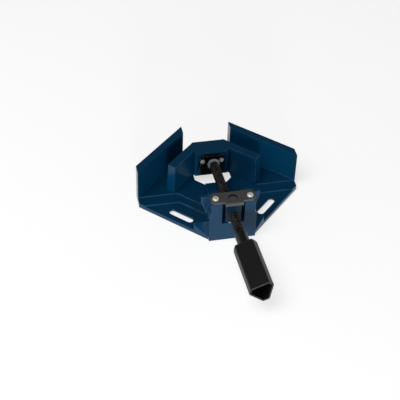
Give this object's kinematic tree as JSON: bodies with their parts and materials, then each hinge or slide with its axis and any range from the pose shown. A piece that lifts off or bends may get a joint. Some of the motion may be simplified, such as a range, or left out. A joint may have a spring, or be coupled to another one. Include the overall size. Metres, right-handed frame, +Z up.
{
  "type": "corner clamp",
  "caption": "Screw-driven 90 degree corner clamp: cast bed with two fences, V-shaped moving jaw, swivelling nut and hollow grip.",
  "frame": {"origin": "the nut's swivel axis on the underside of the bed", "axes": "+Y into the corner along the middle plane, +X to the right seen from the handle, +Z up"},
  "size_m": [0.17, 0.2475, 0.0524],
  "materials": {
    "blue_enamel": "glossy navy enamel on die-cast metal",
    "dark_plate": "dark grey phosphated sheet steel",
    "zinc_screw": "bright zinc plating",
    "plain_steel": "plain turned steel",
    "blackened_steel": "black oxide, lightly oiled",
    "blued_steel": "dark blued steel",
    "black_plastic": "moulded black plastic, satin"
  },
  "bodies": {
    "base": {"base_casting": "blue_enamel", "cover_plate": "dark_plate", "cover_screws": "zinc_screw", "pivot_washers": "plain_steel"},
    "nut": {"swivel_nut": "blued_steel"},
    "bush": {"swivel_bush": "blackened_steel", "bush_pins": "plain_steel", "thrust_washer": "zinc_screw"},
    "spindle": {"threaded_spindle": "blackened_steel", "handle_grip": "black_plastic", "handle_pin": "plain_steel"},
    "jaw": {"moving_jaw": "blue_enamel", "retaining_plate": "blackened_steel", "retaining_screws": "zinc_screw"}
  },
  "joints": [
    {"name": "nut_swivel", "type": "hinge", "parent": "base", "child": "nut", "pos_m": [0, 0, 0.035], "axis": [0, 0, 1], "range_deg": [-6, 6]},
    {"name": "screw_advance", "type": "slide", "parent": "nut", "child": "bush", "axis": [-0.0262, 0.9997, 0], "range_m": [-0.054, 0.012]},
    {"name": "spindle_turn", "type": "hinge", "parent": "bush", "child": "spindle", "pos_m": [0, 0, 0.0306], "axis": [-0.0262, 0.9997, 0], "range_deg": [-9725, 2165]},
    {"name": "jaw_pivot", "type": "hinge", "parent": "bush", "child": "jaw", "pos_m": [-0.00243, 0.09297, 0.0306], "axis": [0, 0, 1], "range_deg": [-6, 6]}
  ],
  "couplings": [
    {"joint": "spindle_turn", "follows": "screw_advance", "rad_per_m": 3141.6},
    {"joint": "jaw_pivot", "follows": "nut_swivel", "ratio": -1}
  ]
}
